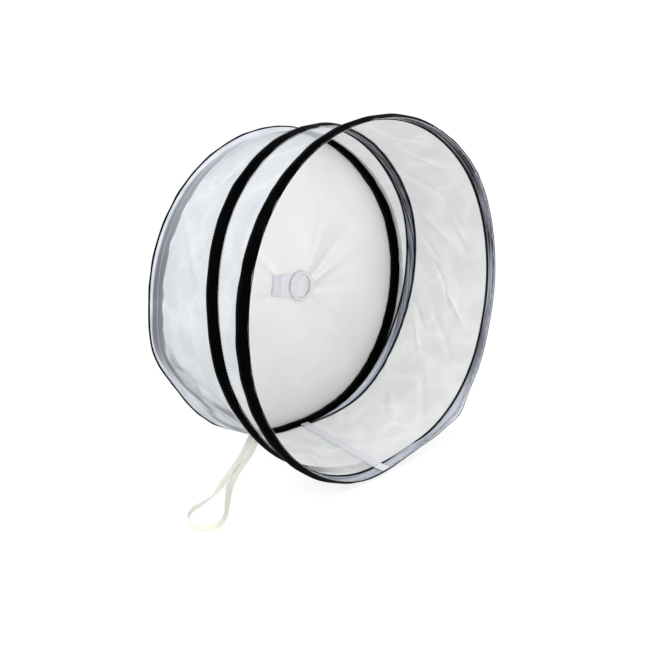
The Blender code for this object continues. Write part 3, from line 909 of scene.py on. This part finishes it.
def make_hoops():
    full = whole_turn(STEPS, 360)
    outer = WALL_RADIUS + LAYER_GAP
    inner = WALL_RADIUS - WALL_THICKNESS - LAYER_GAP
    wire_out = WALL_RADIUS + WIRE_STAND_OFF
    wire_in = WALL_RADIUS - WALL_THICKNESS - WIRE_STAND_OFF
    thread_in = WALL_RADIUS - WALL_THICKNESS - 0.0008

    rim = make_tape("rim_tape", full, rim_band(full), outer, TAPE_RISE, 21, True, puff=(205, 0.6))
    dress(rim, BLACK_TAPE, "front_rim_tape", "front_hoop")
    add_wire("rim_wire", drum(full, wire_out, rim_band(full)[0]), "front_hoop_wire", "front_hoop")
    sewn = stitch_rows("rim_stitches", 0, 360, rim_band, thread_in, True, (0.0003, 0.0024))
    dress(sewn, BLACK_THREAD, body="front_hoop")

    edge_path = drum(full, WALL_RADIUS - WALL_THICKNESS / 2, RIM_EDGE - 0.0001)
    edging = tube("rim_edge_thread", edge_path, THREAD_RADIUS, 8, True)
    dress(edging, BLACK_THREAD, body="front_hoop")

    turn = np.linspace(268.5, -88.5, STEPS + 1)
    middle = make_tape("middle_tape", turn, middle_band(turn), outer, MIDDLE_RISE, 31, False,
                       puff=(160, 0.95))
    dress(middle, BLACK_TAPE, "middle_coil_tape")
    wire = add_wire("middle_wire", drum(turn, wire_out, middle_depth(turn)), "middle_coil_wire",
                    closed=False)
    sewn = stitch_rows("middle_stitches", 240, -88, middle_band, thread_in, False, (0.0022, 0.0023))
    dress(sewn, BLACK_THREAD)
    for piece in (middle, wire, sewn):
        fold_with_net(piece)

    back = make_tape("back_tape", full, back_band(full), inner, TAPE_RISE, 41, True, inside=True)
    dress(back, BLACK_TAPE, "back_hoop_tape", "net")
    add_wire("back_wire", drum(full, wire_in, BACK_CENTRE), "back_hoop_wire", "net")

    ferrule_turn = np.linspace(*FERRULE_ANGLES, 9)
    for name, node, body, radius, place in (
            ("rim_wire_ferrule", "front_wire_ferrule", "front_hoop", wire_out,
             rim_band(ferrule_turn)[0]),
            ("back_wire_ferrule_sleeve", "back_wire_ferrule", "net", wire_in, BACK_CENTRE)):
        size = FERRULE_RADIUS - FERRULE_LIP * (np.abs(np.linspace(-1, 1, 9)) > 0.9)
        sleeve = tube(name, drum(ferrule_turn, radius, place), size, 16)
        dress(sleeve, STEEL, node, body)

    tuck = 0.0035 * np.exp(-((full - 250) / 13) ** 4)
    ripple = wave(full, 51, 14, 50) * 0.0002
    path = drum(full, FLARE_RADIUS + 0.0004 - tuck + ripple, DEPTH - PIPING_RADIUS)
    piping = tube("back_edge_binding", path, PIPING_RADIUS, 12, True,
                  uv=metre_uv(WALL_LENGTH, 2 * math.pi * PIPING_RADIUS, STEPS, 12))
    dress(piping, BLACK_TAPE, "back_edge_piping", "net")


# ---- back cloth
# Folds in it: start and end as x and height from the axis, half width and height, in mm
PANEL_FOLDS = (
    (50, 20, 165, 125, 9, 4.6), (45, 35, 125, 165, 10, -4.2), (60, 5, 195, 75, 9, -3.8),
    (45, 35, 85, 190, 9, 3.2), (-30, 20, -95, 85, 8, 2.2), (60, -10, 200, -5, 11, 1.8),
    (-40, -10, -150, -30, 12, -0.8), (40, -25, 150, -120, 13, 0.9),
)


def make_panel():
    rings = np.linspace(0, 1, 70)
    angle = whole_turn(STEPS // 2, 360)
    share, turn = np.meshgrid(rings[1:], angle, indexing="ij")
    radius = FLARE_RADIUS - 0.0003
    points = drum(turn, radius, PANEL_DEPTH + 0.0003)
    centre = np.array([0, PANEL_DEPTH + 0.0003 + FRONT, AXIS_HEIGHT])
    points = centre + (points - centre) * share[..., None]
    x = points[..., 0]
    z = points[..., 2] - AXIS_HEIGHT
    rise = np.zeros_like(x)
    for *ends, width, height in PANEL_FOLDS:
        x0, z0, x1, z1 = (end / 1000 for end in ends)
        aside, reach, past = beside_line(x - x0, z - z0, x1 - x0, z1 - z0)
        taper = (1 - reach) ** 0.7
        spread = width / 1000 * (0.5 + 1.2 * reach)
        rise += height / 1000 * taper * np.exp(-(aside / spread) ** 2 - (past / 0.012) ** 2)
    edge = clamped((1 - share) / 0.08)
    near_edge = np.exp(-((1 - share) / 0.06) ** 2) * (share < 0.995)
    pucker = np.abs(wave(turn, 61, 30, 70)) * 0.0004 * near_edge
    lift = rise * edge - pucker
    points[..., 1] -= lift
    # Painted shade and light: the slope of the cloth's folds, which its material turns into a lighter
    # and a darker flank
    slope = np.gradient(lift, axis=1) / (2 * math.pi / len(angle) * radius * share)
    # Painted light: this makes the cloth lighter towards the top and darker towards the bottom
    slope += 0.5 * z / HOOP_RADIUS
    form = bmesh.new()
    painted_shading = form.verts.layers.float.new("painted_shading")
    hub = form.verts.new(centre)
    rows = [[form.verts.new(p) for p in ring] for ring in points]
    for row, values in zip(rows, slope):
        for corner, amount in zip(row, values):
            corner[painted_shading] = amount
        row.append(row[0])
    for corners in zip(rows[0], rows[0][1:]):
        form.faces.new((hub, *corners))
    for low, high in zip(rows, rows[1:]):
        for corners in zip(low, high, high[1:], low[1:]):
            form.faces.new(corners)
    layer = form.loops.layers.uv.new("cloth_metres")
    for face in form.faces:
        for loop in face.loops:
            loop[layer].uv = (loop.vert.co.x, loop.vert.co.z)
    cloth = formed("back_cloth", form, bpy.data.meshes.new("back_cloth"))
    dress(cloth, CLOTH, "back_panel", "net")


# ---- white seam tape on the floor
def make_seam():
    seam_low, seam_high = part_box("seam_tape")
    tab_low, tab_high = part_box("rim_seam_tab")
    width = 0.016
    start_x = (tab_low.x + tab_high.x) / 2
    end_x = seam_high.x - width / 2
    front = seam_low.y - FRONT
    rear = seam_high.y - FRONT
    top = WALL_RADIUS - WALL_THICKNESS - 0.0010

    def strip(name, depths, centre_x, half, lift):
        side = np.linspace(-1, 1, 9)[None, :]
        depth = depths[:, None]
        x = centre_x[:, None] + side * half
        angle = 270 + np.degrees(x / WALL_RADIUS)
        curl = 0.0005 * np.abs(side) ** 3 * (1 + wave(depth, 71, 2, 9, DEPTH)) + lift[:, None]
        upper = drum(angle, top - 0.0006 - curl, depth + 0 * x)
        lower = drum(angle, top - curl, depth + 0 * x)
        return closed_sheet(name, upper, lower)

    depths = np.linspace(front, rear, 80)
    share = (depths - front) / (rear - front)
    middle_x = start_x + (end_x - start_x) * share + 0.0006 * wave(depths, 72, 1, 4, DEPTH)
    lift = 0.0003 + 0.0003 * wave(depths, 73, 2, 8, DEPTH) ** 2
    seam = strip("floor_seam_tape", depths, middle_x, width / 2, lift)
    dress(seam, SEAM_RIBBON, "seam_tape")
    fold_with_net(seam)

    fold_depths = np.linspace(0.0007, tab_high.y - FRONT, 12)
    tab = strip("rim_seam_fold", fold_depths, start_x + 0 * fold_depths, width / 2, 0 * fold_depths)
    dress(tab, WHITE_TAPE, "rim_seam_tab", "front_hoop")


# ---- webbing tab and bait ring
TAB_LEAN = math.radians(6.3)
WEBBING_WIDTH = 0.0364
WEBBING_THICKNESS = 0.0011
LOWER_LAYER = 0.00085
UPPER_LAYER = 0.00215
TAB_END = -0.0608  # along the tab from the ring's centre
STITCH_LINE = -0.0452
FOLD_START = -0.0080
FOLD_RADIUS = 0.00235
FOLD_REACH = 115  # how far the fold wraps the bar to each side, in degrees
ZIGZAGS = 26
# The tab's two columns of stitches: their middle along the tab and how far they swing
TAB_STITCHES = ((-0.0575, 0.0022), (-0.0500, 0.0034))
RING_STAND_OFF = 0.0054
RING_RADIUS = 0.02225
RING_OFFSET = -0.0025  # ring's centre and its bar, along the tab from the seat
BAR_OFFSET = 0.0030
RING_HALF_WIDTH = 0.00310
RING_HALF_THICKNESS = 0.0022
BAR_RADIUS = 0.0015


def seat():
    """Place of the tab: its origin at the panel behind the ring's centre, x along the tab."""
    low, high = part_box("bait_ring")
    return Vector(((low.x + high.x) / 2, PANEL_LOW.y, (low.z + high.z) / 2))


def on_tab(along, height, side):
    """Point on the tab: along it, off the panel, and across it."""
    lean_x = along * math.cos(TAB_LEAN) + side * math.sin(TAB_LEAN)
    lean_z = -along * math.sin(TAB_LEAN) + side * math.cos(TAB_LEAN)
    base = seat()
    return np.stack(np.broadcast_arrays(base.x + lean_x, base.y - height, base.z + lean_z), axis=-1)


def make_webbing(name, path, node, body, thickness=WEBBING_THICKNESS, ridges=6):
    """Ribbed strip along a path of (along the tab, height off the panel) points."""
    path = np.array(path, float)
    heading = unit(np.gradient(path, axis=0))
    normal = np.stack([-heading[:, 1], heading[:, 0]], axis=1)
    side = np.linspace(-1, 1, 105)
    rib = 0.5 + 0.5 * np.cos(side * math.pi * ridges)
    edge = 1 - np.abs(side) ** 24
    half = (thickness - WEBBING_THICKNESS * 0.4 * (1 - rib)) / 2 * (0.55 + 0.45 * edge)

    def face(sign):
        along = path[:, 0, None] + sign * normal[:, 0, None] * half[None, :]
        height = path[:, 1, None] + sign * normal[:, 1, None] * half[None, :]
        return on_tab(along, height, side[None, :] * WEBBING_WIDTH / 2 + 0 * along)

    piece = closed_sheet(name, face(1.0), face(-1.0))
    dress(piece, WEBBING, node, body)
    return piece


def make_tab_and_ring():
    base_path = [(a, (LOWER_LAYER + UPPER_LAYER) / 2)
                 for a in np.linspace(TAB_END, STITCH_LINE - 0.0002, 24)]
    make_webbing("tab_base", base_path, "ring_tab_base", "net",
                 UPPER_LAYER - LOWER_LAYER + WEBBING_THICKNESS)

    path = [(a, LOWER_LAYER) for a in np.linspace(STITCH_LINE + 0.0002, FOLD_START, 30)]
    for angle in np.linspace(-FOLD_REACH, FOLD_REACH, 30):
        turn = math.radians(angle)
        path.append((BAR_OFFSET + FOLD_RADIUS * math.cos(turn),
                     RING_STAND_OFF + FOLD_RADIUS * math.sin(turn)))
    path += [(a, UPPER_LAYER) for a in np.linspace(FOLD_START, STITCH_LINE + 0.0002, 30)]
    make_webbing("tab_fold", path, "ring_tab_fold", "ring_tab")

    beads = []
    top = UPPER_LAYER + WEBBING_THICKNESS / 2 + 0.0001
    reach = WEBBING_WIDTH / 2 - 0.0015
    share = np.linspace(0, 1, ZIGZAGS * 14 + 1)
    zigzag = np.abs(np.mod(share * ZIGZAGS, 2) - 1) * 2 - 1
    beat = 0.7 + 0.3 * np.abs(np.sin(math.pi * share * ZIGZAGS))
    for index, (centre, swing) in enumerate(TAB_STITCHES):
        line = on_tab(centre + swing * zigzag, top + 0 * share, (2 * share - 1) * reach)
        beads.append(tube(f"tab_row_{index}", line, 0.00052 * beat, 8))
    sewn = join("tab_stitches", beads)
    sewn.data.shade_smooth()
    dress(sewn, WHITE_THREAD, body="net")

    make_ring()


def make_ring():
    """Moulded ring with a bar across it, melted together."""
    around = whole_turn(144)[:, None]
    bend = whole_turn(28)
    aside, above = (np.sign(part) * np.abs(part) ** 0.85 for part in (np.cos(bend), np.sin(bend)))
    radius = RING_RADIUS + RING_HALF_WIDTH * aside
    lift = RING_HALF_THICKNESS * above
    points = on_tab(RING_OFFSET + radius * np.cos(around), RING_STAND_OFF + lift,
                    radius * np.sin(around))
    rim = grid("ring_rim", points, close_rows=True, close_columns=True)
    side = np.linspace(-RING_RADIUS, RING_RADIUS, 60)
    flare = 1 + 0.5 * np.exp(-((RING_RADIUS - np.abs(side)) / 0.0035) ** 2)
    turn = whole_turn(20)
    size = BAR_RADIUS * flare[:, None]
    points = on_tab(BAR_OFFSET + size * np.cos(turn), RING_STAND_OFF + size * np.sin(turn),
                    side[:, None])
    bar = grid("ring_bar", points, close_columns=True, caps=True)
    ring = join("bait_ring_moulding", [rim, bar])
    melt = ring.modifiers.new("melt", 'REMESH')
    melt.mode = 'VOXEL'
    melt.voxel_size = 0.00045
    soften = ring.modifiers.new("soften", 'SMOOTH')
    soften.iterations = 4
    graph = bpy.context.evaluated_depsgraph_get()
    mesh = bpy.data.meshes.new_from_object(ring.evaluated_get(graph))
    ring.modifiers.clear()
    ring.data = mesh
    mesh.shade_smooth()
    dress(ring, PLASTIC, "bait_ring", "bait_ring")


# ---- floor and light
FLOOR_REACH = 12.0
FLOOR_DROP = 0.0002  # keeps the floor clear of what stands on it


def make_stage():
    mesh = bpy.data.meshes.new("floor")
    corners = ((-1, -1), (1, -1), (1, 1), (-1, 1))
    mesh.from_pydata([(FLOOR_REACH * x, FLOOR_REACH * y, 0) for x, y in corners], [], [(0, 1, 2, 3)])
    floor = add_object("floor", mesh)
    floor.location.z = -FLOOR_DROP
    material, _, shader = shader_of("pale_floor")
    settle(shader, {"Base Color": (0.22, 0.22, 0.22, 1), "Emission Color": (1, 1, 1, 1),
            "Emission Strength": 0.81, "Roughness": 1.0, "Specular IOR Level": 0.0})
    mesh.materials.append(material)

    world = bpy.data.worlds.new("studio")
    world.use_nodes = True
    background = world.node_tree.nodes["Background"]
    settle(background, {"Color": (1, 1, 1, 1), "Strength": 1.04})
    bpy.context.scene.world = world

    for name, place, size, power in (("key", (-1.9, -0.8, 2.0), 1.0, 30),
                                     ("fill", (-0.1, -1.4, 0.15), 0.8, 5)):
        data = bpy.data.lights.new(name, 'AREA')
        data.shape = 'SQUARE'
        data.size = size
        data.energy = power
        light = add_object(name, data)
        light.location = place
        sight = Vector((0, 0, AXIS_HEIGHT)) - light.location
        light.rotation_euler = sight.to_track_quat('-Z', 'Y').to_euler()
    bpy.context.scene.view_settings.view_transform = 'Standard'


make_camera()
make_strap()
make_hoops()
make_net()
make_panel()
make_seam()
make_tab_and_ring()
make_stage()
